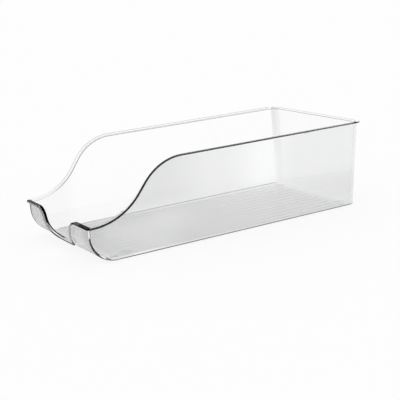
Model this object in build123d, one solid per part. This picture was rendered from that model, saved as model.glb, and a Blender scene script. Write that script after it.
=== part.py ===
from build123d import *
from math import cos, radians, sin, tan
import os

# Clear moulded can organizer, in millimetres. X runs across the bin, Y from the notched front (-Y) to the
# back (+Y), Z up. The origin is on the shelf, under the middle of the bin.

# Overall size, over the rim and down to the shelf
overall_width = 160.0
overall_length = 335.0
overall_height = 95.0

# Walls and floor; a lean is how far a wall comes in from its top to the floor
wall = 2.0
floor_thickness = 2.2
side_lean = 7.0
back_lean = 2.5

# Rolled front and rear corners, inside the bin; outside, their radii are larger by the wall
inner_roll_radius = 27.0
inner_corner_radius = 7.0

# Small roundings along the floor's edges and the ends of the rolled front
inner_edge_radius = 0.8
outer_edge_radius = 1.2

# Rim that stands out from the walls all round
rim_reach = 3.0
front_rim_reach = 2.5
rim_depth = 2.0

# Side view: low front rim, S-shaped sweep, high rim
front_rim_height = 39.2
sweep_start = 5.6
sweep_angle = 53.5
lower_sweep_radius = 62.0
upper_sweep_radius = 52.0

# Finger notch in the front, seen from the front
notch_mouth = 68.0
notch_side_angle = 18.0
notch_floor_height = 9.0
notch_shoulder_radius = 15.0
notch_bottom_radius = 18.0

# Ribs along the floor: one in the middle, the others joined in pairs by round ends
rib_pitch = 10.0
rib_width = 1.6
rib_height = 0.5
rib_front_gap = 12.5
rib_back_gap = 16.0
rib_side_gap = 5.0

# Anti-slip pads under the corners of the flat floor
pad_radius = 6.0
pad_thickness = 1.3
pad_edge_radius = 0.3
pad_seat_depth = 0.5
pad_seat_clearance = 0.2
pad_side_inset = 15.0
pad_front_inset = 15.5
pad_back_inset = 13.0

# Helpers: how far cutting blocks run past the bin, a measuring tolerance, and the most of a straight stretch
# that the roundings at its two ends may take up together
past = 50.0
tolerance = 0.01
largest_share = 0.95

# Places that follow from the sizes above
half_width = overall_width / 2
half_length = overall_length / 2
base_height = pad_thickness - pad_seat_depth
inner_floor = base_height + floor_thickness
side_top = half_width - rim_reach
side_base = side_top - side_lean
back_top = half_length - rim_reach
back_base = back_top - back_lean
roll_radius = inner_roll_radius + wall
front_face = -half_length + front_rim_reach
roll_end = front_face + roll_radius


def fitted(wanted, room):
    """Share of the wanted roundings that fits in the room that a straight stretch gives them."""
    return min(1.0, largest_share * room / wanted)


def side_outline(front, back_low, back_high, bottom, roll):
    """Face in the YZ plane: rolled front, flat bottom and leaning back, up to the top of the rim."""
    with BuildSketch(Plane.YZ) as sketch:
        with BuildLine():
            start = (front, overall_height)
            roll_top = (front, bottom + roll)
            roll_foot = (front + roll, bottom)
            Line(start, roll_top)
            RadiusArc(roll_top, roll_foot, -roll)
            Polyline(roll_foot, (back_low, bottom), (back_high, overall_height), start)
        make_face()
    return sketch.sketch


def cross_outline(half_base, half_top, bottom):
    """Face in the XZ plane: the tapering width between the two side walls."""
    with BuildSketch(Plane.XZ) as sketch:
        with BuildLine():
            Polyline(
                (-half_base, bottom),
                (half_base, bottom),
                (half_top, overall_height),
                (-half_top, overall_height),
                close=True,
            )
        make_face()
    return sketch.sketch


def basin(out, front_out, bottom, roll, edge_radius):
    """Solid block bounded by the walls' outer faces, moved outwards by the given amounts."""
    front = front_face - front_out
    block = extrude(
        side_outline(front, back_base + out, back_top + out, bottom, roll),
        amount=half_width + past,
        both=True,
    )
    block &= extrude(
        cross_outline(side_base + out, side_top + out, bottom),
        amount=half_length + past,
        both=True,
    )
    rear_edges = block.edges().filter_by(is_rear_corner)
    block = fillet(rear_edges, inner_corner_radius + wall + out)
    return fillet(lower_edges(block, bottom, front + roll), edge_radius)


def is_rear_corner(edge):
    """True for the two upright edges between the sides and the back."""
    middle = edge @ 0.5
    return edge.bounding_box().size.Z > overall_height / 2 and middle.Y > 0


def lower_edges(block, bottom, roll_foot):
    """The side and back edges of a block's bottom, of its rolled front and of the front above the roll."""
    wanted = []
    for edge in block.edges():
        middle = edge @ 0.5
        across_front = abs(middle.X) < tolerance and middle.Y < 0
        on_bottom = middle.Z < bottom + tolerance
        on_front = middle.Y < roll_foot
        if (on_bottom or on_front) and not across_front:
            wanted.append(edge)
    return wanted


def below_sweep(drop):
    """Everything that lies below the side view's rim line, with the line moved in by a drop."""
    turn = radians(sweep_angle)
    rise = overall_height - front_rim_height
    bend = (lower_sweep_radius + upper_sweep_radius) * (1 - cos(turn))
    share = fitted(bend, rise)
    straight = (rise - share * bend) / sin(turn)
    lower_radius = share * lower_sweep_radius + drop
    upper_radius = share * upper_sweep_radius - drop
    low = front_rim_height - drop
    high = overall_height - drop
    start = (-half_length + sweep_start, low)
    first = (start[0] + lower_radius * sin(turn), low + lower_radius * (1 - cos(turn)))
    second = (first[0] + straight * cos(turn), first[1] + straight * sin(turn))
    end = (second[0] + upper_radius * sin(turn), high)
    reach = half_length + past
    with BuildSketch(Plane.YZ) as sketch:
        with BuildLine():
            Line((-reach, low), start)
            RadiusArc(start, first, -lower_radius)
            Line(first, second)
            RadiusArc(second, end, upper_radius)
            Polyline(end, (reach, high), (reach, -past), (-reach, -past), (-reach, low))
        make_face()
    return extrude(sketch.sketch, amount=half_width + past, both=True)


def notch_cut(drop):
    """The finger notch as a block through the rolled front, with its outline moved in by a drop."""
    lean = radians(notch_side_angle)
    low = notch_floor_height - drop
    high = front_rim_height - drop
    half_high = notch_mouth / 2 - drop * tan(lean) + drop / cos(lean)
    half_low = half_high - (high - low) * tan(lean)
    outer = half_high + notch_shoulder_radius
    side = (front_rim_height - notch_floor_height) / cos(lean)
    tangents = (notch_shoulder_radius + notch_bottom_radius) * tan((radians(90.0) - lean) / 2)
    share = fitted(tangents, side)
    shoulder = share * notch_shoulder_radius - drop
    bottom = share * notch_bottom_radius + drop
    with BuildSketch(Plane.XZ) as sketch:
        with BuildLine():
            FilletPolyline(
                (-outer, high),
                (-half_high, high),
                (-half_low, low),
                (half_low, low),
                (half_high, high),
                (outer, high),
                radius=[shoulder, bottom, bottom, shoulder],
            )
            top = overall_height + past
            Polyline((outer, high), (outer, top), (-outer, top), (-outer, high))
        make_face()
    return extrude(sketch.sketch, amount=half_length + past).moved(Location((0, roll_end, 0)))


def moulding_space(drop):
    """Space that the moulding may fill: below the side sweep and outside the notch."""
    return below_sweep(drop) - notch_cut(drop)


def rib_slot(x, shorter, width):
    """Face with round ends on the inner floor, centred across the bin on x."""
    front = roll_end + rib_front_gap
    back = back_base - wall - rib_back_gap
    middle = Pos(x, (front + back) / 2, inner_floor)
    return middle * SlotOverall(back - front - shorter, width, rotation=90)


def floor_ribs():
    """The middle rib and, on each side of it, the ribs joined in pairs."""
    ribs = extrude(rib_slot(0.0, 0.0, rib_width), amount=rib_height)
    pairs = int((side_base - wall - rib_side_gap) // (2 * rib_pitch))
    for index in range(pairs):
        for side in (-1, 1):
            x = side * (2 * index + 1.5) * rib_pitch
            loop = rib_slot(x, 0.0, rib_pitch + rib_width)
            loop -= rib_slot(x, 2 * rib_width, rib_pitch - rib_width)
            ribs += extrude(loop, amount=rib_height)
    return ribs


def pad_places():
    """Name and centre of each pad under the floor."""
    x = side_base - pad_side_inset
    front = roll_end + pad_front_inset
    back = back_base - pad_back_inset
    return {
        "pad_front_left": (-x, front),
        "pad_front_right": (x, front),
        "pad_rear_left": (-x, back),
        "pad_rear_right": (x, back),
    }


def disc(place, bottom, top, radius):
    """Upright disc between two heights."""
    align = (Align.CENTER, Align.CENTER, Align.MIN)
    return Pos(place[0], place[1], bottom) * Cylinder(radius, top - bottom, align=align)


def moulded_bin():
    """The clear moulding: floor, walls, rolled front, rim, ribs and the seats of the pads."""
    hollow = basin(-wall, -wall, inner_floor, inner_roll_radius, inner_edge_radius)
    body = basin(0.0, 0.0, base_height, roll_radius, outer_edge_radius)
    body = (body - hollow) & moulding_space(0.0)
    rim = basin(rim_reach, front_rim_reach, base_height, roll_radius, outer_edge_radius)
    rim = (rim - hollow) & moulding_space(0.0)
    rim -= moulding_space(rim_depth)
    body = body + rim + floor_ribs()
    for place in pad_places().values():
        body -= disc(place, 0.0, base_height + pad_seat_depth, pad_radius + pad_seat_clearance)
    return body


def anti_slip_pad(place):
    """One round pad, seated in the floor and standing on the shelf."""
    pad = disc(place, 0.0, pad_thickness, pad_radius)
    return fillet(pad.edges().group_by(Axis.Z)[0], pad_edge_radius)


os.makedirs("parts", exist_ok=True)
export_step(moulded_bin(), "parts/moulded_bin.step")
for name, place in pad_places().items():
    export_step(anti_slip_pad(place), f"parts/{name}.step")
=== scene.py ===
import logging
import math
from dataclasses import dataclass, field, replace
from enum import Enum, IntEnum
from typing import Callable

import bmesh
import bpy
from mathutils import Matrix, Vector
from mathutils.geometry import delaunay_2d_cdt


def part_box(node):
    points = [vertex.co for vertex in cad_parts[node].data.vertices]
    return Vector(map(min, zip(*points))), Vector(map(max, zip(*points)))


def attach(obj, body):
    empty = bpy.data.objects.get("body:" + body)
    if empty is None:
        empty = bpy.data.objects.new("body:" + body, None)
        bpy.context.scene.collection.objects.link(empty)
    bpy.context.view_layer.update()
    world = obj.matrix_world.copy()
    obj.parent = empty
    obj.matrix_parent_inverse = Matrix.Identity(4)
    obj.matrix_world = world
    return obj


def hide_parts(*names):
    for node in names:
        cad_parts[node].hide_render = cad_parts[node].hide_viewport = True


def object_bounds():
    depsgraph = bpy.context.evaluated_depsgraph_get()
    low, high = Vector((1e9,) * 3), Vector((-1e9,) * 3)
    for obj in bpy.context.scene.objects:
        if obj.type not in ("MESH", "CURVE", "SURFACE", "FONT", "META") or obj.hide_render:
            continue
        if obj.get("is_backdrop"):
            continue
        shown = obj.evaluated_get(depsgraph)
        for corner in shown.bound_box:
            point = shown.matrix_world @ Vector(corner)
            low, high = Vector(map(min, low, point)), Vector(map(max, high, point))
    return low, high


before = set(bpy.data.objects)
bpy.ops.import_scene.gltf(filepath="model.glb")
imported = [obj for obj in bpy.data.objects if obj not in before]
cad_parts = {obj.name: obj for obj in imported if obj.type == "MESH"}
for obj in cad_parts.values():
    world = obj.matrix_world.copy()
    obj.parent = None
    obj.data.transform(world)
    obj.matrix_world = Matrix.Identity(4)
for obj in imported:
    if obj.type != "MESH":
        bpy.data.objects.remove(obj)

# Clear moulded can organizer with four anti-slip pads. Lengths are in millimetres until a mesh is made, and
# X runs across the bin, Y from the notched front to the back, Z up from the shelf.

LOG = logging.getLogger("can_organizer")
MM = 0.001
QUARTER = math.pi / 2
WELD_DISTANCE = 2e-6
TOLERANCE = 0.001
WHITE = (1.0, 1.0, 1.0, 1.0)
NEAR_WHITE = (0.99, 0.99, 0.99, 1.0)

Pair = tuple[float, float]
Lines = list[list[Vector]]
Socket = bpy.types.NodeSocket
ZoneAt = Callable[[int, int], int]

# Places of the sockets of a colour mix: its share and its two colours, and its result
MIX_INPUTS, MIX_RESULT = (0, 6, 7), 2

# Refractive indices of zones whose real surface shows no glint, or only a faint one
NO_GLINT = 1.01
FAINT_GLINT = 1.05


def shares(count: int) -> list[float]:
    """Even shares of a stretch, from the first step's to 1."""
    return [i / count for i in range(1, count + 1)]


def circle(x: float, y: float, radius: float, z: float, arms: int) -> list[Vector]:
    """Points of a level circle."""
    turns = [2 * math.pi * i / arms for i in range(arms)]
    return [Vector((x + radius * math.cos(t), y + radius * math.sin(t), z)) for t in turns]


def mirror(lines: Lines) -> Lines:
    """Mirror images of lines on the other half of the bin, in reverse order."""
    return [[Vector((-p.x, p.y, p.z)) for p in line] for line in reversed(lines)]


class Side(Enum):
    """The two halves of the bin, by the sign of X."""

    RIGHT = 1.0
    LEFT = -1.0


class Zone(IntEnum):
    """Parts of the moulding's surface that take a finish of their own, in slot order."""

    INSIDE = 0
    FRONT_INSIDE = 1
    REAR_CORNER = 2
    SEAM = 3
    FLOOR = 4
    RIB = 5
    OUTSIDE = 6
    FRONT_WALL = 7
    FOOT = 8
    FOOT_EDGE = 9
    CORNER = 10
    TOP = 11
    EDGE = 12
    LIP = 13
    ROOT = 14
    FRONT_TOP = 15
    FRONT_EDGE = 16
    FRONT_LIP = 17
    FRONT_UNDER = 18
    UNDER = 19
    BACK_LIP = 20


# Sizes of the real moulding


@dataclass(frozen=True)
class BinSizes:
    """Driving sizes of the moulding, in millimetres."""

    width: float
    length: float
    height: float
    wall: float = 2.0
    floor_thickness: float = 2.2
    side_lean: float = 7.0
    back_lean: float = 2.5
    roll_radius: float = 27.0
    corner_radius: float = 7.0
    inner_edge: float = 0.8
    outer_edge: float = 1.2
    rim_reach: float = 3.0
    front_rim_reach: float = 2.5
    rim_depth: float = 2.0
    front_height: float = 39.2
    base_height: float = 0.8

    @property
    def half_width(self) -> float:
        """Half of the overall width."""
        return self.width / 2

    @property
    def half_length(self) -> float:
        """Half of the overall length."""
        return self.length / 2

    @property
    def front_face(self) -> float:
        """Y of the front wall's outer face."""
        return -self.half_length + self.front_rim_reach

    @property
    def back_face(self) -> float:
        """Y of the back wall's outer face at the rim."""
        return self.half_length - self.rim_reach

    @property
    def roll_end(self) -> float:
        """Y where the rolled front meets the flat floor."""
        return self.front_face + self.roll_radius + self.wall


@dataclass(frozen=True)
class Skin:
    """One face of the wall all round: the inner one, the outer one or the rim's outer edge."""

    top: float
    bottom: float
    half_foot: float
    half_top: float
    back_foot: float
    back_top: float
    roll_y: float
    roll_radius: float
    rear_radius: float
    edge: float

    def share(self, z: float) -> float:
        """How far a height lies up from the skin's bottom to its top, from 0 to 1."""
        return (z - self.bottom) / (self.top - self.bottom)

    def half(self, z: float) -> float:
        """Half of the width at a height."""
        return self.half_foot + (self.half_top - self.half_foot) * self.share(z)

    def back(self, z: float) -> float:
        """Y of the back at a height."""
        return self.back_foot + (self.back_top - self.back_foot) * self.share(z)

    @property
    def roll_z(self) -> float:
        """Height of the rolled front's centre."""
        return self.bottom + self.roll_radius

    @property
    def roll_length(self) -> float:
        """Length of the rolled front's quarter arc."""
        return self.roll_radius * QUARTER

    def run_to(self, z: float) -> float:
        """Length along the front, from the flat floor up to a height.

        Args:
            z: the height.

        Returns:
            The length.
        """
        if z >= self.roll_z:
            return self.roll_length + z - self.roll_z
        return self.roll_radius * math.acos((self.roll_z - z) / self.roll_radius)

    def front_at(self, run: float, inset: float = 0.0) -> Pair:
        """Place on the front, by the length along it.

        Args:
            run: length along the front from the flat floor, in millimetres.
            inset: how far the place lies inside the face.

        Returns:
            Y and Z of the place.
        """
        radius = self.roll_radius - inset
        if run >= self.roll_length:
            return self.roll_y - radius, self.roll_z + run - self.roll_length
        turn = run / self.roll_radius
        return self.roll_y - radius * math.sin(turn), self.roll_z - radius * math.cos(turn)

    def rounding(self, steps: int) -> list[Pair]:
        """Height and inset of the points of the rounding along the floor, from the floor outwards."""
        turns = [QUARTER * step / steps for step in range(steps + 1)]
        return [(self.bottom + self.edge * (1 - math.cos(t)), self.edge * (1 - math.sin(t))) for t in turns]

    def towards(self, other: "Skin", share: float) -> "Skin":
        """A skin between this one and another, at a share of the way."""
        mixed = {n: value * (1 - share) + vars(other)[n] * share for n, value in vars(self).items()}
        return Skin(**mixed)

    def moved(self, out: float, **changes: float) -> "Skin":
        """This skin with its sides and its back moved outwards, and with other sizes changed."""
        names = ("half_foot", "half_top", "back_foot", "back_top", "rear_radius")
        return replace(self, **{name: getattr(self, name) + out for name in names}, **changes)


# Outlines with rounded corners


@dataclass(frozen=True)
class EdgePoint:
    """A point of an outline, with the direction from it into the material."""

    along: float
    height: float
    lean_along: float
    lean_height: float

    def dropped(self, drop: float) -> Pair:
        """The point moved into the material by a drop."""
        return self.along + drop * self.lean_along, self.height + drop * self.lean_height


@dataclass(frozen=True)
class RoundedPath:
    """An open outline of straight runs whose corners are rounded."""

    corners: tuple[Pair, ...]
    radii: tuple[float, ...]

    def samples(self, step: float, turn_step: float) -> list[EdgePoint]:
        """Points from the start of the outline to the end of its last round corner.

        Args:
            step: longest distance between points on a straight run.
            turn_step: largest turn between points on a round corner, in radians.

        Returns:
            The points in order.
        """
        points = [Vector(corner) for corner in self.corners]
        found = [self._edge_point(points[0], (points[1] - points[0]).normalized())]
        for index, radius in enumerate(self.radii):
            corner = points[index + 1]
            ahead = (points[index + 2] - corner).normalized()
            behind = (corner - points[index]).normalized()
            turn = behind.angle_signed(ahead)
            tangent = radius * math.tan(abs(turn) / 2)
            start = corner - behind * tangent
            last = Vector((found[-1].along, found[-1].height))
            run = start - last
            count = max(1, math.ceil(run.length / step))
            if run.length > TOLERANCE:
                found += [self._edge_point(last + run * share, behind) for share in shares(count)]
            side = Vector((behind.y, -behind.x)) * (1 if turn > 0 else -1)
            centre = start + side * radius
            arms = max(2, math.ceil(abs(turn) / turn_step))
            for i in range(1, arms + 1):
                swing = Matrix.Rotation(-turn * i / arms, 2)
                found.append(self._edge_point(centre + swing @ (start - centre), swing @ behind))
        return found

    @staticmethod
    def _edge_point(place: Vector, heading: Vector) -> EdgePoint:
        """The outline's point at a place, for a heading along the outline."""
        return EdgePoint(place.x, place.y, heading.y, -heading.x)


# Stations: places round the bin where a column of points runs up the wall


class Station:
    """A place round the bin, which each kind of station counts along the wall in its own way."""

    def top(self, skin: Skin, drop: float) -> Pair:
        """The rim's edge, moved into the wall by a drop: its place along the wall, and Z."""
        raise NotImplementedError

    def point(self, skin: Skin, drop: float, run: float) -> Vector:
        """The point of a skin at a length up the wall, for a column that ends a drop under the rim."""
        raise NotImplementedError

    def column(self, skin: Skin, drop: float, rows: int) -> list[Vector]:
        """Points in even rows from the floor, or from the rounding along it, up to the rim's edge."""
        whole = skin.run_to(self.top(skin, drop)[1])
        return [self.point(skin, drop, whole * row / rows) for row in range(rows + 1)]

    def edge(self, skin: Skin, drop: float) -> Vector:
        """The point of the rim's edge on a skin."""
        return self.column(skin, drop, 1)[-1]


@dataclass(frozen=True)
class FrontStation(Station):
    """A place on the front wall, from the middle of the notch to the corner, counted by X."""

    notch: EdgePoint
    lead: float = 0.0

    def top(self, skin: Skin, drop: float) -> Pair:
        """The rim's edge, moved into the wall.

        Args:
            skin: the face that the edge lies on.
            drop: how far the edge is moved.

        Returns:
            X and Z of the edge.
        """
        along, height = self.notch.dropped(drop)
        edge = skin.half(height) - skin.edge
        return along + (edge - along) * self.lead, height

    def point(self, skin: Skin, drop: float, run: float) -> Vector:
        """The point of a skin, at the same share of the width all the way up.

        Args:
            skin: the face.
            drop: how far under the rim's edge the column ends.
            run: the length up the wall, from the flat floor.

        Returns:
            The point.
        """
        along, height = self.top(skin, drop)
        y, z = skin.front_at(run)
        share = along / (skin.half(height) - skin.edge)
        return Vector((share * (skin.half(z) - skin.edge), y, z))


@dataclass(frozen=True)
class RoundStation(Station):
    """A place on an upright rounding of the walls, counted by its turn."""

    turn: float
    rim_height: float

    def top(self, skin: Skin, drop: float) -> Pair:
        """Turn and Z of the rim's edge, which is level here."""
        return self.turn, self.rim_height - drop


@dataclass(frozen=True)
class CornerStation(RoundStation):
    """A place on the small rounding between the front and a side."""

    def point(self, skin: Skin, drop: float, run: float) -> Vector:
        """The point of a skin at a length up the front."""
        y, z = skin.front_at(run, skin.edge * (1 - math.cos(self.turn)))
        return Vector((skin.half(z) - skin.edge * (1 - math.sin(self.turn)), y, z))


@dataclass(frozen=True)
class SideStation(Station):
    """A place on a side wall, from the front corner to the rear one, counted by Y."""

    sweep: EdgePoint
    lead_in: float = 1.0
    lead_out: float = 0.0

    def _ends(self, skin: Skin, z: float, run: float | None = None) -> Pair:
        """Y where the flat side starts and ends, at a height or at a length along the front."""
        front = skin.front_at(skin.roll_length if run is None else run, skin.edge)[0]
        return front, skin.back(z) - skin.rear_radius

    def _at(self, skin: Skin, drop: float, run: float, z: float, inset: float = 0.0) -> Vector:
        """The point of a skin, at the same share of the flat side all the way up.

        Args:
            skin: the face.
            drop: how far under the rim's edge the column ends.
            run: the length up the front that the point is level with.
            z: the height.
            inset: how far the point lies inside the face.

        Returns:
            The point.
        """
        along, height = self.top(skin, drop)
        start, end = self._ends(skin, height)
        share = (along - start) / (end - start)
        start, end = self._ends(skin, z, run)
        return Vector((skin.half(z) - inset, start + (end - start) * share, z))

    def top(self, skin: Skin, drop: float) -> Pair:
        """The rim's edge, moved into the wall.

        Args:
            skin: the face that the edge lies on.
            drop: how far the edge is moved.

        Returns:
            Y and Z of the edge.
        """
        along, height = self.sweep.dropped(drop)
        start, end = self._ends(skin, height)
        along = start + (along - start) * self.lead_in
        return along + (end - along) * self.lead_out, height

    def point(self, skin: Skin, drop: float, run: float) -> Vector:
        """The point of a skin, level with a length up the front."""
        return self._at(skin, drop, run, skin.front_at(run, skin.edge)[1])

    def band(self, skin: Skin, drop: float, steps: int) -> list[Vector]:
        """Points of the rounding between the floor and the side, from the floor outwards."""
        return [self._at(skin, drop, 0.0, z, inset) for z, inset in skin.rounding(steps)]


@dataclass(frozen=True)
class RearStation(RoundStation):
    """A place on the rear corner, or on the back wall at a share of its half width."""

    share: float = 1.0

    @property
    def turns(self) -> bool:
        """Whether the place lies inside the rounding, not at one of its ends."""
        return TOLERANCE < self.turn < QUARTER - TOLERANCE

    def _at(self, skin: Skin, z: float, inset: float = 0.0) -> Vector:
        """The point of a skin at a height.

        Args:
            skin: the face.
            z: the height.
            inset: how far the point lies inside the face.

        Returns:
            The point.
        """
        radius = skin.rear_radius - inset
        x = (skin.half(z) - skin.rear_radius) * self.share + radius * math.cos(self.turn)
        y = skin.back(z) - skin.rear_radius + radius * math.sin(self.turn)
        return Vector((x, y, z))

    def point(self, skin: Skin, drop: float, run: float) -> Vector:
        """The point of a skin, level with a length up the front."""
        return self._at(skin, skin.front_at(run, skin.edge)[1])

    def band(self, skin: Skin, drop: float, steps: int) -> list[Vector]:
        """Points of the rounding along the floor, as for the side."""
        return [self._at(skin, z, inset) for z, inset in skin.rounding(steps)]


Gap = tuple[Station, Station]


# Meshes


@dataclass
class MeshSheet:
    """Collects points and faces in millimetres and makes one welded mesh of them."""

    points: list[Vector] = field(default_factory=list)
    faces: list[tuple[int, ...]] = field(default_factory=list)
    zones: list[int] = field(default_factory=list)

    def add_grid(self, lines: Lines, zone: int | ZoneAt = 0, closed: bool = False) -> None:
        """Adds faces between neighbouring lines of points.

        Args:
            lines: lines of points, all with as many points.
            zone: index of the finish, or what gives it for a line and a step along the line.
            closed: whether the last line joins the first.
        """
        start = len(self.points)
        width = len(lines[0])
        for line in lines:
            self.points += line
        for index in range(len(lines) if closed else len(lines) - 1):
            here = start + index * width
            there = start + (index + 1) % len(lines) * width
            for step in range(width - 1):
                self.faces.append((here + step, there + step, there + step + 1, here + step + 1))
                self.zones.append(zone(index, step) if callable(zone) else zone)

    def add_rings(self, rings: Lines, zone: int = 0) -> None:
        """Adds faces between closed rings of points, all with as many points."""
        self.add_grid([ring + ring[:1] for ring in rings], zone)

    def add_region(self, loops: Lines, z: float, kept: Callable[[Vector], bool], zone: int = 0) -> None:
        """Fills a level region between loops with triangles.

        Args:
            loops: closed loops of points, the outermost first.
            z: height of the region.
            kept: says whether a place belongs to the region.
            zone: index of the finish.
        """
        flat, edges = [], []
        for loop in loops:
            first = len(flat)
            flat += [Vector((p.x, p.y)) for p in loop]
            edges += [(first + i, first + (i + 1) % len(loop)) for i in range(len(loop))]
        found, _, triangles, *_ = delaunay_2d_cdt(flat, edges, [], 1, WELD_DISTANCE)
        start = len(self.points)
        self.points += [Vector((p.x, p.y, z)) for p in found]
        for triangle in triangles:
            middle = sum((found[i] for i in triangle), Vector((0.0, 0.0))) / len(triangle)
            if kept(middle):
                self.faces.append(tuple(start + i for i in triangle))
                self.zones.append(zone)

    def add_cap(self, ring: list[Vector], zone: int = 0) -> None:
        """Closes a ring with one face.

        Args:
            ring: the ring's points.
            zone: index of the finish.
        """
        start = len(self.points)
        self.points += ring
        self.faces.append(tuple(range(start, start + len(ring))))
        self.zones.append(zone)

    def build(self, name: str, sharp_angle: float) -> bpy.types.Object:
        """Makes the object, in metres, with its points welded and its faces turned outwards.

        Args:
            name: name of the piece.
            sharp_angle: edges that turn by more than this stay crisp, in radians.

        Returns:
            The new object, linked to the scene.
        """
        mesh = bpy.data.meshes.new(name)
        mesh.from_pydata([tuple(p * MM) for p in self.points], [], self.faces)
        mesh.polygons.foreach_set("material_index", self.zones)
        shape = bmesh.new()
        shape.from_mesh(mesh)
        bmesh.ops.remove_doubles(shape, verts=shape.verts, dist=WELD_DISTANCE)
        bmesh.ops.dissolve_degenerate(shape, edges=shape.edges, dist=WELD_DISTANCE)
        bmesh.ops.recalc_face_normals(shape, faces=shape.faces)
        open_edges = sum(1 for edge in shape.edges if not edge.is_manifold)
        if open_edges:
            LOG.warning("%s has %d open edges", name, open_edges)
        shape.to_mesh(mesh)
        shape.free()
        mesh.shade_smooth()
        mesh.set_sharp_from_angle(angle=sharp_angle)
        thing = bpy.data.objects.new(name, mesh)
        bpy.context.scene.collection.objects.link(thing)
        weighted = thing.modifiers.new("even_shading", "WEIGHTED_NORMAL")
        weighted.keep_sharp = True
        return thing


# Finishes


class Nodes:
    """A short way to write a material's nodes."""

    def __init__(self, tree: bpy.types.NodeTree) -> None:
        """Empties the tree and keeps it."""
        self.tree = tree
        tree.nodes.clear()

    def add(self, kind: str, **settings: object) -> bpy.types.Node:
        """Adds a node.

        Args:
            kind: the node's type, without the words ShaderNode.
            settings: properties to set, or inputs by their name with _ for spaces, as a socket or a value.

        Returns:
            The node.
        """
        node = self.tree.nodes.new("ShaderNode" + kind)
        for name, value in settings.items():
            if hasattr(node, name):
                setattr(node, name, value)
            else:
                self.feed(node.inputs[name.replace("_", " ").title()], value)
        return node

    def feed(self, target: Socket, value: object) -> None:
        """Links a socket to an input, or sets the input where the value is plain.

        Args:
            target: the input.
            value: a socket or a plain value.
        """
        if isinstance(value, Socket):
            self.tree.links.new(value, target)
        else:
            target.default_value = value

    def mix(self, share: object, first: object, second: object, blend: str = "MIX") -> Socket:
        """Adds a colour mix.

        Args:
            share: how much of the second colour, as a socket or a number.
            first: the first colour, as a socket or a value.
            second: the second colour.
            blend: the kind of mix.

        Returns:
            The mixed colour.
        """
        node = self.add("Mix", data_type="RGBA", blend_type=blend)
        for place, value in zip(MIX_INPUTS, (share, first, second)):
            self.feed(node.inputs[place], value)
        return node.outputs[MIX_RESULT]

    def maths(self, operation: str, first: object, second: object) -> Socket:
        """Adds a maths node.

        Args:
            operation: the kind of sum.
            first: the first number, as a socket or a value.
            second: the second number.

        Returns:
            The result.
        """
        node = self.add("Math", operation=operation)
        for target, value in zip(node.inputs, (first, second)):
            self.feed(target, value)
        return node.outputs[0]


class Line(Enum):
    """Directions along which a finish changes, by the name of the output that gives the place."""

    WIDTH = "X"
    LENGTH = "Y"
    HEIGHT = "Z"


@dataclass(frozen=True)
class ToneAndPaintedLight:
    """Share of the light that a face lets in, by stops of a place in millimetres and the share there: painted
    shade and painted dark edge lines, a painted highlight's share, or a pad's own even tone.
    """

    line: Line
    stops: tuple[Pair, ...]

    def build(self, nodes: Nodes, place: bpy.types.Node) -> Socket:
        """Adds the nodes.

        Args:
            nodes: the material's nodes.
            place: the node that gives the place on the bin.

        Returns:
            The socket that carries the share as a grey.
        """
        first, last = self.stops[0][0], self.stops[-1][0]
        source = place.outputs[self.line.value]
        position = nodes.add("MapRange", Value=source, From_Min=first * MM, From_Max=last * MM)
        ramp = nodes.add("ValToRGB", Fac=position.outputs["Result"])
        ramp.color_ramp.interpolation = "EASE"
        elements = ramp.color_ramp.elements
        middle = 0.5
        while len(elements) < len(self.stops):
            elements.new(middle)
        for element, (stop, share) in zip(elements, self.stops):
            element.position = (stop - first) / (last - first)
            element.color = (share, share, share, 1.0)
        return ramp.outputs["Color"]


def by_x(*stops: Pair) -> ToneAndPaintedLight:
    """A grey of own tone or painted light that changes across the bin, by stops of X."""
    return ToneAndPaintedLight(Line.WIDTH, stops)


def by_y(*stops: Pair) -> ToneAndPaintedLight:
    """A grey of own tone or painted light that changes along the bin, by stops of Y."""
    return ToneAndPaintedLight(Line.LENGTH, stops)


def by_z(*stops: Pair) -> ToneAndPaintedLight:
    """A grey of own tone or painted light that changes with height, by stops of Z."""
    return ToneAndPaintedLight(Line.HEIGHT, stops)


# Grey of the plain walls, clear but a little darker towards the front and the back, and of the rim's lip,
# painted near-black shade that stands for its dark edge line
CLEAR = by_y((-166, 0.95), (-130, 0.96), (-105, 1), (150, 1), (162, 0.975))
LIP = by_y((-166, 0.02), (-80, 0.02), (0, 0.05), (150, 0.13), (160, 0.05))

# Where the near half and the far half of the bin, whose rims take different painted shade, take over from
# each other, in millimetres of X
HALVES = (-5.0, 5.0)


@dataclass(frozen=True)
class Noise:
    """Soft random pattern: its scale, and how fine and how strong its detail is."""

    scale: float
    detail: float
    roughness: float

    def build(self, nodes: Nodes, coordinates: Socket) -> Socket:
        """Adds the pattern by the place on the bin, and gives its socket."""
        settings = {"Scale": self.scale, "Detail": self.detail, "Roughness": self.roughness}
        return nodes.add("TexNoise", Vector=coordinates, **settings).outputs["Fac"]


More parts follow.
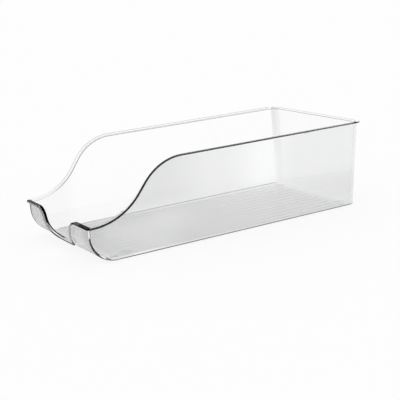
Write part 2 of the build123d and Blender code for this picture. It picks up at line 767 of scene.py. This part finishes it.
@dataclass(frozen=True)
class ClearPlastic:
    """Clear polished moulding plastic, with painted shade and painted dark edge lines laid on as a grey where
    light enters it, and a painted white highlight where one is given.
    """

    name: str
    high: ToneAndPaintedLight = CLEAR
    low: ToneAndPaintedLight | None = None
    step: Pair = (38.0, 52.0)
    across: Line = Line.HEIGHT
    tint: tuple[float, float, float] = (0.985, 0.992, 0.988)
    index: float = 1.5
    both_ways: bool = False
    # Share of a painted white highlight by place, if any
    painted_highlight: ToneAndPaintedLight | None = None
    roughness: Pair = (0.0, 0.04)
    speck_range: Pair = (0.35, 0.8)
    cloud: Noise = Noise(55.0, 3.0, 0.5)
    specks: Noise = Noise(900.0, 2.0, 0.7)
    wave: Noise = Noise(18.0, 1.0, 0.4)
    wave_strength: float = 0.02
    wave_distance: float = 0.0002

    def _painted_shade_and_tint(self, nodes: Nodes, place: bpy.types.Node, cloud: Socket) -> Socket:
        """Adds the colour: a painted shade grey by place, on the side where light enters, times the plastic's
        own tint.

        Args:
            nodes: the material's nodes.
            place: the node that gives the place on the bin.
            cloud: a soft noise.

        Returns:
            The colour's socket.
        """
        first, last = (end * MM for end in self.step)
        source = place.outputs[self.across.value]
        rise = nodes.add("MapRange", Value=source, From_Min=first, From_Max=last)
        rise.interpolation_type = "SMOOTHSTEP"
        # Painted shade: one grey below the step and another above it, blended across the step
        low = (self.low or self.high).build(nodes, place)
        grey = nodes.mix(rise.outputs["Result"], low, self.high.build(nodes, place))
        squared = nodes.mix(1.0, grey, grey, "MULTIPLY")
        if not self.both_ways:
            facing = nodes.add("NewGeometry")
            squared = nodes.mix(facing.outputs["Backfacing"], squared, WHITE)
        pale = tuple((1 + part) / 2 for part in self.tint)
        own = nodes.mix(cloud, (*self.tint, 1.0), (*pale, 1.0))
        return nodes.mix(1.0, squared, own, "MULTIPLY")

    def build(self) -> bpy.types.Material:
        """Makes the material.

        Returns:
            The material.
        """
        material = bpy.data.materials.new(self.name)
        material.use_nodes = True
        nodes = Nodes(material.node_tree)
        coordinates = nodes.add("TexCoord").outputs["Object"]
        place = nodes.add("SeparateXYZ", Vector=coordinates)
        cloud, specks, wave = (n.build(nodes, coordinates) for n in (self.cloud, self.specks, self.wave))
        (few, many), (smooth, rough) = self.speck_range, self.roughness
        shine = nodes.add("MapRange", Value=specks, From_Min=few, From_Max=many, To_Min=smooth, To_Max=rough)
        bump = nodes.add("Bump", Strength=self.wave_strength, Distance=self.wave_distance, Height=wave)
        shader = nodes.add("BsdfPrincipled", Roughness=shine.outputs["Result"], Normal=bump.outputs["Normal"])
        shader.inputs["IOR"].default_value = self.index
        shader.inputs["Transmission Weight"].default_value = 1.0
        colour = self._painted_shade_and_tint(nodes, place, cloud)
        # Painted highlight: the colour is mixed towards white and lets less light through by the highlight's
        # share
        if self.painted_highlight:
            highlight_share = self.painted_highlight.build(nodes, place)
            colour = nodes.mix(highlight_share, colour, WHITE)
            nodes.feed(shader.inputs["Transmission Weight"], nodes.maths("SUBTRACT", 1.0, highlight_share))
        nodes.feed(shader.inputs["Base Color"], colour)
        nodes.add("OutputMaterial", Surface=shader.outputs[0])
        return material


@dataclass(frozen=True)
class PlainStage:
    """Matt pale table under the bin, whose own brightness hides most of the bin's shadow."""

    name: str = "studio_floor"
    shade: float = 0.98
    glow_share: float = 0.88

    def build(self) -> bpy.types.Material:
        """Makes the material.

        Returns:
            The material.
        """
        material = bpy.data.materials.new(self.name)
        material.use_nodes = True
        nodes = Nodes(material.node_tree)
        matt = nodes.add("BsdfDiffuse", Color=(self.shade, self.shade, self.shade, 1.0))
        glow = nodes.add("Emission", Strength=1.0, Color=NEAR_WHITE)
        rays = nodes.add("LightPath")
        seen = rays.outputs["Is Camera Ray"]
        for name in ("Is Glossy Ray", "Is Transmission Ray"):
            seen = nodes.maths("MAXIMUM", seen, rays.outputs[name])
        mixed = nodes.add("MixShader")
        sources = (nodes.maths("MULTIPLY", seen, self.glow_share), matt.outputs[0], glow.outputs[0])
        for target, source in zip(mixed.inputs, sources):
            nodes.feed(target, source)
        nodes.add("OutputMaterial", Surface=mixed.outputs[0])
        return material


# The finish of each zone of the moulding; the greys below are painted shade, painted shadow and painted dark
# edge lines on the clear plastic
FINISHES = {
    Zone.INSIDE: ClearPlastic("clear_wall_inside"),
    # Painted shade on the inside of the rolled front, darker towards the bottom
    Zone.FRONT_INSIDE: ClearPlastic("clear_front_inside", by_z((3, 0.6), (14, 0.62), (30, 1))),
    # Painted shade: a soft grey band up the rear corners
    Zone.REAR_CORNER: ClearPlastic(
        "clear_rear_corner",
        by_y((150, 1), (158, 0.81), (163, 0.9)),
        by_y((150, 1), (158, 0.93), (163, 0.97)),
        step=(20.0, 90.0),
    ),
    # Painted shade: a dark line along the floor's rounding, clear towards the back
    Zone.SEAM: ClearPlastic("clear_floor_seam", by_y((-130, 0.6), (150, 0.6), (158, 1), (167, 1))),
    # Painted shade and the bin's painted shadow on the table seen through the floor, darker towards the
    # front, lighter along the far side
    Zone.FLOOR: ClearPlastic(
        "clear_floor",
        by_y((-140, 0.55), (-70, 0.65), (0, 0.73), (136, 0.79), (156, 1)),
        by_y((-140, 0.62), (-60, 0.78), (0, 0.92), (167, 0.96)),
        step=(-66.0, -56.0),
        across=Line.WIDTH,
    ),
    # Painted shade on the ribs, darker towards the front
    Zone.RIB: ClearPlastic(
        "clear_floor_rib", by_y((-140, 0.56), (-70, 0.67), (0, 0.8), (80, 0.93), (167, 0.99))
    ),
    # Painted shade on the outer walls, with a paler painted streak of reflected light near Y 40 high up
    Zone.OUTSIDE: ClearPlastic(
        "clear_wall_outside",
        by_y((-166, 0.78), (-95, 0.78), (-15, 0.885), (40, 0.99), (78, 0.9), (167, 0.9)),
        by_y((-166, 0.9), (-140, 1), (-95, 1), (-35, 0.87), (167, 0.82)),
        step=(28.0, 56.0),
    ),
    # Painted shade on the outside of the rolled front, varying across it and darker low down
    Zone.FRONT_WALL: ClearPlastic(
        "clear_front_wall",
        by_x((-70, 0.58), (0, 0.62), (25, 0.87), (50, 0.85), (70, 0.66)),
        by_x((-70, 0.54), (0, 0.56), (25, 0.76), (50, 0.73), (70, 0.5)),
        step=(8.0, 30.0),
    ),
    # Painted shade along the foot of the outer walls and on the underside
    Zone.FOOT: ClearPlastic("clear_foot", by_y((-140, 0.8), (140, 0.76), (167, 0.88)), index=NO_GLINT),
    # Painted dark edge line along the rounding at the foot, paler only at the front
    Zone.FOOT_EDGE: ClearPlastic(
        "clear_foot_edge", by_y((-152, 0.45), (-140, 0.25), (-120, 0.08), (167, 0.12)), index=FAINT_GLINT
    ),
    # Painted highlight: a white streak up the front corners, from about Z 30.5 to 36.5
    Zone.CORNER: ClearPlastic("front_corner_painted_highlight", painted_highlight=by_z((27, 0), (30.5, 1), (36.5, 1), (38.5, 0))),
    Zone.TOP: ClearPlastic("clear_rim_top", index=NO_GLINT),
    # Painted dark edge lines on the rim's outer edge, near-black at the front, with different painted shade
    # on the near and far halves
    Zone.EDGE: ClearPlastic(
        "clear_rim_edge",
        by_y((-166, 0.02), (-85, 0.02), (-50, 0.3), (155, 0.5), (162, 0.7)),
        by_y((-164, 0.03), (-160, 0.75), (-143, 0.75), (-122, 0.25), (-90, 0.05), (155, 0.1), (162, 0.7)),
        HALVES,
        Line.WIDTH,
        index=FAINT_GLINT,
        both_ways=True,
    ),
    # Painted near-black shade on the side lips, for their dark edge line
    Zone.LIP: ClearPlastic("clear_rim_lip", LIP),
    # Painted dark edge line at the lip's root, near-black at the back, with different painted shade on the
    # near and far halves
    Zone.ROOT: ClearPlastic(
        "clear_rim_root",
        by_y((-166, 0.9), (156, 0.9), (162, 0.02)),
        by_y((-166, 0.7), (-143, 0.75), (-118, 0.2), (150, 0.2), (162, 0.02)),
        HALVES,
        Line.WIDTH,
        both_ways=True,
    ),
    # Painted shade on the front rim's top, darker up the notch's sides and near-black at the top
    Zone.FRONT_TOP: ClearPlastic(
        "clear_front_rim_top",
        by_z((8, 1), (11, 1), (20, 0.4), (36, 0.4), (38.6, 0.08)),
        index=FAINT_GLINT,
    ),
    # Painted near-black edge line on the front rim's edge, paler across the notch's bottom
    Zone.FRONT_EDGE: ClearPlastic(
        "clear_front_rim_edge",
        by_x((-60, 0.05), (-14, 0.02), (-8, 0.75), (20, 0.75), (34, 0.6), (40, 0.05), (70, 0.05)),
        index=FAINT_GLINT,
        both_ways=True,
    ),
    # Painted dark shade on the front rim's lip, near-black low in the notch and, on the near half, at the top
    Zone.FRONT_LIP: ClearPlastic(
        "clear_front_rim_lip",
        by_z((9, 0.04), (12, 0.1), (15, 0.6), (33, 0.65), (36.5, 0.3), (37.5, 0.08)),
        by_z((9, 0.04), (12, 0.1), (15, 0.6), (38, 0.5)),
        HALVES,
        Line.WIDTH,
        index=FAINT_GLINT,
    ),
    # Painted near-black shade under the front rim, with two paler bands
    Zone.FRONT_UNDER: ClearPlastic(
        "clear_front_rim_under",
        by_x(
            (-70, 0.02), (-50, 0.1), (-38, 0.4), (-28, 0.6), (-20, 0.03),
            (22, 0.03), (27, 0.85), (36, 0.85), (42, 0.1),
        ),
        index=FAINT_GLINT,
    ),
    Zone.UNDER: ClearPlastic("clear_rim_underside", index=NO_GLINT),
    # Painted near-black shade on the back lip, for its dark edge line
    Zone.BACK_LIP: ClearPlastic("clear_back_rim_lip", LIP, index=NO_GLINT),
}


# Sub-assemblies


# Cross-section of a rib, from its foot to its crest: shares of its half width and of its height
RIB_SECTION = ((1.0, 0.0), (0.8, 0.1), (0.6, 0.35), (0.4, 0.65), (0.2, 0.9), (0.0, 1.0))


@dataclass(frozen=True)
class FloorRib:
    """A round-ended ridge on the inner floor: a bar, or a loop of two bars joined by round ends."""

    x: float
    start: float
    end: float
    radius: float
    half_width: float
    height: float
    arms: int

    @property
    def is_bar(self) -> bool:
        """Whether the ridge is a single bar, with no space inside it."""
        return self.radius <= 0.0

    def outline(self, offset: float, z: float) -> list[Vector]:
        """Round-ended outline at a distance from the ridge's middle line.

        Args:
            offset: distance outwards from the middle line.
            z: height of the outline.

        Returns:
            The closed outline's points.
        """
        radius = self.radius + offset
        points = []
        for y, first in ((self.end, 0.0), (self.start, math.pi)):
            for step in range(self.arms + 1):
                turn = first + math.pi * step / self.arms
                points.append(Vector((self.x + radius * math.cos(turn), y + radius * math.sin(turn), z)))
        return points

    def flank(self, way: Side, floor: float) -> Lines:
        """Outlines from the foot up to the crest, of the outer flank (RIGHT) or the inner one (LEFT)."""
        reach = way.value * self.half_width
        return [self.outline(reach * out, floor + self.height * up) for out, up in RIB_SECTION]

    def covers(self, place: Vector) -> bool:
        """Whether the ridge stands on a place of the floor."""
        nearest = min(max(place.y, self.start), self.end)
        return abs(math.hypot(place.x - self.x, place.y - nearest) - self.radius) < self.half_width


@dataclass
class Moulding:
    """The clear bin: floor, walls, rolled front, rim, floor ribs and the seats of the pads."""

    sizes: BinSizes
    pads: list[Pair]
    sweep_start: float = 5.6
    sweep_angle: float = 53.5
    lower_sweep_radius: float = 62.0
    upper_sweep_radius: float = 52.0
    notch_mouth: float = 68.0
    notch_side_angle: float = 18.0
    notch_floor: float = 9.0
    shoulder_radius: float = 15.0
    notch_bottom_radius: float = 18.0
    rib_pitch: float = 10.0
    rib_width: float = 1.6
    rib_height: float = 0.32
    rib_front_gap: float = 12.5
    rib_back_gap: float = 16.0
    rib_side_gap: float = 5.0
    bar_arms: int = 8
    loop_arms: int = 16
    seat_radius: float = 6.2
    seat_depth: float = 0.5
    seat_arms: int = 48
    rim_round: float = 0.45
    root_round: float = 0.65
    edge_line: float = 0.95
    inner_line: float = 1.3
    front_line: float = 1.8
    lip_line: float = 0.55
    foot_rows: int = 3
    curl_rows: int = 9
    top_rows: int = 1
    curl_strips: int = 5
    rows: int = 30
    rounding_steps: int = 4
    shoulder_steps: int = 10
    corner_steps: int = 4
    lead_steps: int = 3
    rear_steps: int = 14
    back_steps: int = 26
    side_steps: int = 60
    round_steps: int = 6
    sample_step: float = 1.3
    turn_step: float = 0.06
    sharp_angle: float = 0.9

    def skins(self) -> dict[str, Skin]:
        """Works out the faces that the walls and the rim lie on.

        Returns:
            The inner face, the outer face and the rim's outer edge, by name.
        """
        s = self.sizes
        half_top = s.half_width - s.rim_reach
        outer = Skin(
            top=s.height,
            bottom=s.base_height,
            half_foot=half_top - s.side_lean,
            half_top=half_top,
            back_foot=s.back_face - s.back_lean,
            back_top=s.back_face,
            roll_y=s.roll_end,
            roll_radius=s.roll_radius + s.wall,
            rear_radius=s.corner_radius + s.wall,
            edge=s.outer_edge,
        )
        bottom = outer.bottom + s.floor_thickness
        inner = outer.moved(-s.wall, bottom=bottom, roll_radius=s.roll_radius, edge=s.inner_edge)
        front = s.roll_end - s.front_rim_reach
        lip = outer.moved(s.rim_reach, roll_y=front, edge=outer.edge + s.rim_reach)
        return {"inner": inner, "outer": outer, "lip": lip}

    def sweep(self) -> RoundedPath:
        """Draws the rim's line seen from the side.

        Returns:
            The line in Y and Z, from the low front to the high sides.
        """
        s = self.sizes
        turn = math.radians(self.sweep_angle)
        start = -s.half_length + self.sweep_start
        first = start + self.lower_sweep_radius * math.tan(turn / 2)
        second = first + (s.height - s.front_height) / math.tan(turn)
        low = tuple((y, s.front_height) for y in (start, first))
        high = tuple((y, s.height) for y in (second, s.half_length))
        return RoundedPath(low + high, (self.lower_sweep_radius, self.upper_sweep_radius))

    def notch(self) -> RoundedPath:
        """Draws half of the finger notch's outline seen from the front.

        Returns:
            The outline in X and Z, from the notch's middle outwards.
        """
        s = self.sizes
        mouth = self.notch_mouth / 2
        foot = mouth - (s.front_height - self.notch_floor) * math.tan(math.radians(self.notch_side_angle))
        low = tuple((x, self.notch_floor) for x in (0.0, foot))
        high = tuple((x, s.front_height) for x in (mouth, s.half_width))
        return RoundedPath(low + high, (self.notch_bottom_radius, self.shoulder_radius))

    def half_ring(self) -> list[Station]:
        """Places the stations on the right half.

        Returns:
            The stations, from the middle of the front round to the middle of the back.
        """
        s = self.sizes
        notch = self.notch().samples(self.sample_step, self.turn_step)
        sweep = self.sweep().samples(self.sample_step, self.turn_step)
        return [
            *(FrontStation(point) for point in notch),
            *(FrontStation(notch[-1], share) for share in shares(self.shoulder_steps)),
            *(CornerStation(QUARTER * share, s.front_height) for share in shares(self.corner_steps)),
            *(SideStation(sweep[0], lead_in=share) for share in shares(self.lead_steps)[:-1]),
            *(SideStation(point) for point in sweep),
            *(SideStation(sweep[-1], lead_out=share) for share in shares(self.side_steps)),
            *(RearStation(QUARTER * share, s.height) for share in shares(self.rear_steps)),
            *(RearStation(QUARTER, s.height, 1 - share) for share in shares(self.back_steps)),
        ]

    def gaps(self) -> list[Gap]:
        """Pairs each station with the next one.

        Returns:
            The pairs, from the middle of the front all the way round.
        """
        half = self.half_ring()
        whole = half + half[-2:0:-1]
        return list(zip(whole, whole[1:] + whole[:1]))

    @staticmethod
    def ring_of(lines: Lines) -> Lines:
        """Lines of the right half, followed by their mirror images back to the start."""
        return lines + mirror(lines[1:-1])

    def rim_profile(self, skins: dict[str, Skin]) -> list[tuple[Skin, float]]:
        """The rim's cross-section, from the inner wall over the top and round the lip to the outer wall.

        Args:
            skins: the faces that the rim joins.

        Returns:
            A skin and a drop for each point.
        """
        s = self.sizes
        r, root = self.rim_round, self.root_round
        arcs = [
            ((-s.wall + r, r), r, math.pi, 1),
            ((s.rim_reach - r, r), r, QUARTER, 1),
            ((s.rim_reach - r, s.rim_depth - r), r, 0.0, 1),
            ((root, s.rim_depth + root), root, QUARTER, -1),
        ]
        points = []
        for (reach, drop), radius, first, way in arcs:
            for step in range(self.round_steps + 1):
                turn = first - way * QUARTER * step / self.round_steps
                points.append((reach + radius * math.cos(turn), drop - radius * math.sin(turn)))
        points.insert(2 * (self.round_steps + 1), (s.rim_reach, s.rim_depth * self.lip_line))
        flat = (self.inner_line - s.wall, s.rim_reach - self.front_line, s.rim_reach - self.edge_line)
        points[self.round_steps + 1 : self.round_steps + 1] = [(reach, 0.0) for reach in flat]
        profile = []
        for reach, drop in points:
            if reach < 0:
                skin = skins["outer"].towards(skins["inner"], -reach / s.wall)
            else:
                skin = skins["outer"].towards(skins["lip"], reach / s.rim_reach)
            profile.append((skin, drop))
        return profile

    def wall_zone(self, zone: Zone, gap: Gap, step: int, curled: bool) -> Zone:
        """The finish of one face of the walls between two stations.

        Args:
            zone: the finish of the face as a whole.
            gap: the two stations.
            step: the step up the wall.
            curled: whether the gap lies at a front corner, where the foot reaches higher.

        Returns:
            The finish.
        """
        in_front = any(isinstance(end, FrontStation) for end in gap)
        if zone is Zone.INSIDE:
            if step >= self.rows - self.top_rows and all(isinstance(end, SideStation) for end in gap):
                return Zone.TOP
            if any(isinstance(end, RearStation) and end.turns for end in gap):
                return Zone.REAR_CORNER
            return Zone.FRONT_INSIDE if in_front else zone
        turns = [end.turn for end in gap if isinstance(end, CornerStation)]
        if turns and min(turns) < QUARTER - TOLERANCE and step < self.curl_rows:
            return Zone.FOOT_EDGE
        if turns and max(turns) < QUARTER - TOLERANCE:
            return Zone.CORNER
        if in_front:
            return Zone.FRONT_WALL
        return Zone.FOOT if step < (self.curl_rows if curled else self.foot_rows) else zone

    def add_wall(self, sheet: MeshSheet, skin: Skin, drop: float, zone: Zone) -> list[Vector]:
        """Adds one face of the walls, with its rounding along the floor.

        Args:
            sheet: the mesh to add to.
            skin: the face.
            drop: how far under the rim's edge the face ends.
            zone: the finish.

        Returns:
            The loop where the face meets the flat floor.
        """
        stations, gaps = self.half_ring(), self.gaps()
        columns = [station.column(skin, drop, self.rows) for station in stations]
        corners = [i for i, (station, _) in enumerate(gaps) if isinstance(station, CornerStation)]
        curl = {i + j for i in corners for j in range(-self.curl_strips, self.curl_strips + 1)}

        def zone_at(index: int, step: int) -> int:
            """The finish of the face after a column, at a step up the wall."""
            return self.wall_zone(zone, gaps[index], step, index in curl)

        sheet.add_grid(self.ring_of(columns), zone_at, closed=True)
        feet = [column[0] for column in columns]
        front = sum(isinstance(station, FrontStation) for station in stations)
        side = front + self.corner_steps
        bands = [feet[front - 1 : side]]
        bands += [station.band(skin, drop, self.rounding_steps) for station in stations[side:]]
        edge = Zone.SEAM if zone is Zone.INSIDE else Zone.FOOT_EDGE
        sheet.add_grid(bands + mirror(bands[:-1]), edge)
        right = feet[:front] + [line[0] for line in bands[1:]]
        return [line[0] for line in self.ring_of([[point] for point in right])]

    def ribs(self) -> list[FloorRib]:
        """Lays out the ribs on the inner floor.

        Returns:
            The middle rib and, on each side of it, the ribs joined in pairs.
        """
        s = self.sizes
        half = self.rib_width / 2
        start = s.roll_end + self.rib_front_gap
        end = s.back_face - s.back_lean - s.wall - self.rib_back_gap
        ribs = [FloorRib(0.0, start + half, end - half, 0.0, half, self.rib_height, self.bar_arms)]
        radius = self.rib_pitch / 2
        side = s.half_width - s.rim_reach - s.side_lean - s.wall
        pairs = int((side - self.rib_side_gap) // (2 * self.rib_pitch))
        ends = (start + radius + half, end - radius - half)
        first = 1.5
        for index in range(pairs):
            for way in Side:
                x = way.value * (first + 2 * index) * self.rib_pitch
                ribs.append(FloorRib(x, *ends, radius, half, self.rib_height, self.loop_arms))
        return ribs

    def add_floor(self, sheet: MeshSheet, skin: Skin, loop: list[Vector]) -> None:
        """Adds the inner floor and its ribs.

        Args:
            sheet: the mesh to add to.
            skin: the inner face.
            loop: where the walls meet the floor.
        """
        loops = [loop]
        ribs = self.ribs()
        for rib in ribs:
            outer = rib.flank(Side.RIGHT, skin.bottom)
            loops.append(outer[0])
            if rib.is_bar:
                sheet.add_rings(outer[:-1], Zone.RIB)
                sheet.add_cap(outer[-2], Zone.RIB)
                continue
            inner = rib.flank(Side.LEFT, skin.bottom)
            loops.append(inner[0])
            sheet.add_rings(outer + inner[-2::-1], Zone.RIB)

        def clear_of_ribs(place: Vector) -> bool:
            """Whether a place is clear of every rib."""
            return not any(rib.covers(place) for rib in ribs)

        sheet.add_region(loops, skin.bottom, clear_of_ribs, Zone.FLOOR)

    def add_underside(self, sheet: MeshSheet, skin: Skin, loop: list[Vector]) -> None:
        """Adds the underside and the seats of the pads.

        Args:
            sheet: the mesh to add to.
            skin: the outer face.
            loop: where the walls meet the underside.
        """
        loops = [loop]
        for x, y in self.pads:
            ring = circle(x, y, self.seat_radius, skin.bottom, self.seat_arms)
            ceiling = [p + Vector((0, 0, self.seat_depth)) for p in ring]
            loops.append(ring)
            sheet.add_rings([ring, ceiling], Zone.FOOT)
            sheet.add_cap(ceiling, Zone.FOOT)

        def outside_seats(place: Vector) -> bool:
            """Whether a place is clear of every seat."""
            return all(math.hypot(place.x - x, place.y - y) > self.seat_radius for x, y in self.pads)

        sheet.add_region(loops, skin.bottom, outside_seats, Zone.FOOT)

    def add_rim(self, sheet: MeshSheet, ring: Lines) -> None:
        """Adds the rim in strips, each with its own finish.

        Args:
            sheet: the mesh to add to.
            ring: the rim's cross-section at each station, all the way round.
        """
        # Steps of each strip, from the inner wall outwards, and its finish in front, at the sides and behind
        arc = self.round_steps
        strips = [
            (arc, Zone.FRONT_EDGE, Zone.TOP, Zone.EDGE),
            (1, Zone.FRONT_EDGE, Zone.TOP, Zone.TOP),
            (1, Zone.FRONT_TOP, Zone.TOP, Zone.TOP),
            (1, Zone.FRONT_UNDER, Zone.TOP, Zone.TOP),
            (arc + 1, Zone.FRONT_UNDER, Zone.EDGE, Zone.TOP),
            (arc + 2, Zone.FRONT_LIP, Zone.LIP, Zone.BACK_LIP),
            (1, Zone.FRONT_LIP, Zone.UNDER, Zone.UNDER),
            (arc, Zone.ROOT, Zone.ROOT, Zone.ROOT),
        ]
        places = []
        for gap in self.gaps():
            in_front = all(isinstance(end, FrontStation | CornerStation) for end in gap)
            behind = all(isinstance(end, RearStation) for end in gap)
            places.append(0 if in_front else 2 if behind else 1)
        start = 0
        for steps, *zones in strips:
            finishes = [zones[place] for place in places]
            lines = [line[start : start + steps + 1] for line in ring]
            sheet.add_grid(lines, lambda index, step: finishes[index], closed=True)
            start += steps

    def build(self) -> bpy.types.Object:
        """Makes the moulding as one closed piece.

        Returns:
            The piece.
        """
        sheet = MeshSheet()
        skins = self.skins()
        profile = self.rim_profile(skins)
        inner_loop = self.add_wall(sheet, skins["inner"], profile[0][1], Zone.INSIDE)
        outer_loop = self.add_wall(sheet, skins["outer"], profile[-1][1], Zone.OUTSIDE)
        lines = [[station.edge(skin, drop) for skin, drop in profile] for station in self.half_ring()]
        self.add_rim(sheet, self.ring_of(lines))
        self.add_floor(sheet, skins["inner"], inner_loop)
        self.add_underside(sheet, skins["outer"], outer_loop)
        piece = sheet.build("clear_bin", self.sharp_angle)
        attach(piece, "root")
        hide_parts("moulded_bin")
        return piece

    def dress(self, piece: bpy.types.Object) -> None:
        """Gives each zone of the moulding its finish."""
        for zone in Zone:
            piece.data.materials.append(FINISHES[zone].build())


@dataclass
class AntiSlipPad:
    """One round clear pad, seated in the floor and standing on the shelf."""

    node: str
    arms: int = 64
    sharp_angle: float = math.radians(50.0)
    foot: tuple[Pair, ...] = ((0.9, 0.0), (0.35, 0.0), (0.12, 0.08), (0.0, 0.3))
    crown: tuple[Pair, ...] = ((0.0, 0.22), (0.06, 0.08), (0.2, 0.02))

    def middle(self) -> Vector:
        """Middle of the pad's place in the part, in millimetres."""
        low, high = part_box(self.node)
        return (low + high) / 2 / MM

    def build(self) -> bpy.types.Object:
        """Makes the pad as a turned form that fills its node's place.

        A point of the foot lies in from the side and up from the shelf, one of the crown in and down.

        Returns:
            The piece.
        """
        low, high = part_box(self.node)
        centre = self.middle()
        radius = (high.x - low.x) / 2 / MM
        top = high.z / MM
        turned = [(radius - inwards, up) for inwards, up in self.foot]
        turned += [(radius - inwards, top - down) for inwards, down in self.crown]
        sheet = MeshSheet()
        rings = [circle(centre.x, centre.y, r, z, self.arms) for r, z in turned]
        sheet.add_rings(rings)
        sheet.add_cap(rings[0])
        sheet.add_cap(rings[-1])
        piece = sheet.build(self.node.replace("pad_", "anti_slip_pad_"), self.sharp_angle)
        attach(piece, "root")
        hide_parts(self.node)
        return piece

    def dress(self, piece: bpy.types.Object) -> None:
        """Gives the pad its finish.

        Args:
            piece: the pad.
        """
        grey = by_y((-167, 0.9), (167, 0.9))
        finish = ClearPlastic("pad_rubber", grey, index=1.45, both_ways=True, roughness=(0.2, 0.35))
        piece.data.materials.append(finish.build())


@dataclass(frozen=True)
class Studio:
    """Plain white floor, soft light and the camera at the photograph's angle."""

    azimuth: float = 58.877
    elevation: float = 14.378
    roll: float = -3.559
    distance: float = 1043.3
    shift_right: float = 1.84
    shift_up: float = -24.76
    focus: float = 967.5
    sensor: float = 36.0
    frame_pixels: float = 400.0
    floor_size: float = 12000.0
    clip: Pair = (0.05, 50.0)

    def build_camera(self, height: float) -> None:
        """Sets the camera.

        Args:
            height: the bin's height in millimetres; the camera is aimed from half of it.
        """
        turn, rise, lean = (math.radians(a) for a in (self.azimuth, self.elevation, self.roll))
        back = Vector((math.sin(turn) * math.cos(rise), -math.cos(turn) * math.cos(rise), math.sin(rise)))
        right = (-back).cross(Vector((0, 0, 1))).normalized()
        up = back.cross(right)
        place = back * self.distance + right * self.shift_right + up * self.shift_up
        place.z += height / 2
        level = right * math.cos(lean) + up * math.sin(lean)
        upright = up * math.cos(lean) - right * math.sin(lean)
        data = bpy.data.cameras.new("camera")
        data.sensor_width = self.sensor
        data.lens = self.focus * self.sensor / self.frame_pixels
        data.clip_start, data.clip_end = self.clip
        camera = bpy.data.objects.new("camera", data)
        columns = Matrix((level, upright, back)).transposed().to_4x4()
        camera.matrix_world = Matrix.Translation(place * MM) @ columns
        bpy.context.scene.collection.objects.link(camera)
        bpy.context.scene.camera = camera

    def build_floor(self) -> None:
        """Makes the level white floor."""
        half = self.floor_size / 2
        sheet = MeshSheet()
        sheet.add_grid([[Vector((x, y, 0.0)) for y in (-half, half)] for x in (-half, half)])
        floor = sheet.build("studio_floor", math.pi)
        floor.data.materials.append(PlainStage().build())
        floor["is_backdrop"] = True

    def build_light(self) -> None:
        """Sets the even white surroundings."""
        world = bpy.data.worlds.new("studio")
        world.use_nodes = True
        nodes = Nodes(world.node_tree)
        background = nodes.add("Background", Color=NEAR_WHITE)
        nodes.add("OutputWorld", Surface=background.outputs[0])
        bpy.context.scene.world = world

    def build(self, height: float) -> None:
        """Makes the whole studio.

        Args:
            height: the bin's height in millimetres.
        """
        self.build_camera(height)
        self.build_floor()
        self.build_light()
        bpy.context.scene.view_settings.view_transform = "Standard"


def main() -> None:
    """Builds the studio and the pieces in order, and reports each piece."""
    logging.basicConfig(level=logging.INFO, format="%(name)s: %(message)s")
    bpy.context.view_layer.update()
    low, high = (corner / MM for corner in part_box("moulded_bin"))
    sizes = BinSizes(width=high.x - low.x, length=high.y - low.y, height=high.z)
    Studio().build(sizes.height)
    pads = [AntiSlipPad(node) for node in sorted(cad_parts) if node.startswith("pad_")]
    places = [(middle.x, middle.y) for middle in (pad.middle() for pad in pads)]
    for maker in (Moulding(sizes, places), *pads):
        piece = maker.build()
        maker.dress(piece)
        LOG.info("%s: %d faces", piece.name, len(piece.data.polygons))
    low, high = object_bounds()


if __name__ == "__main__":
    main()
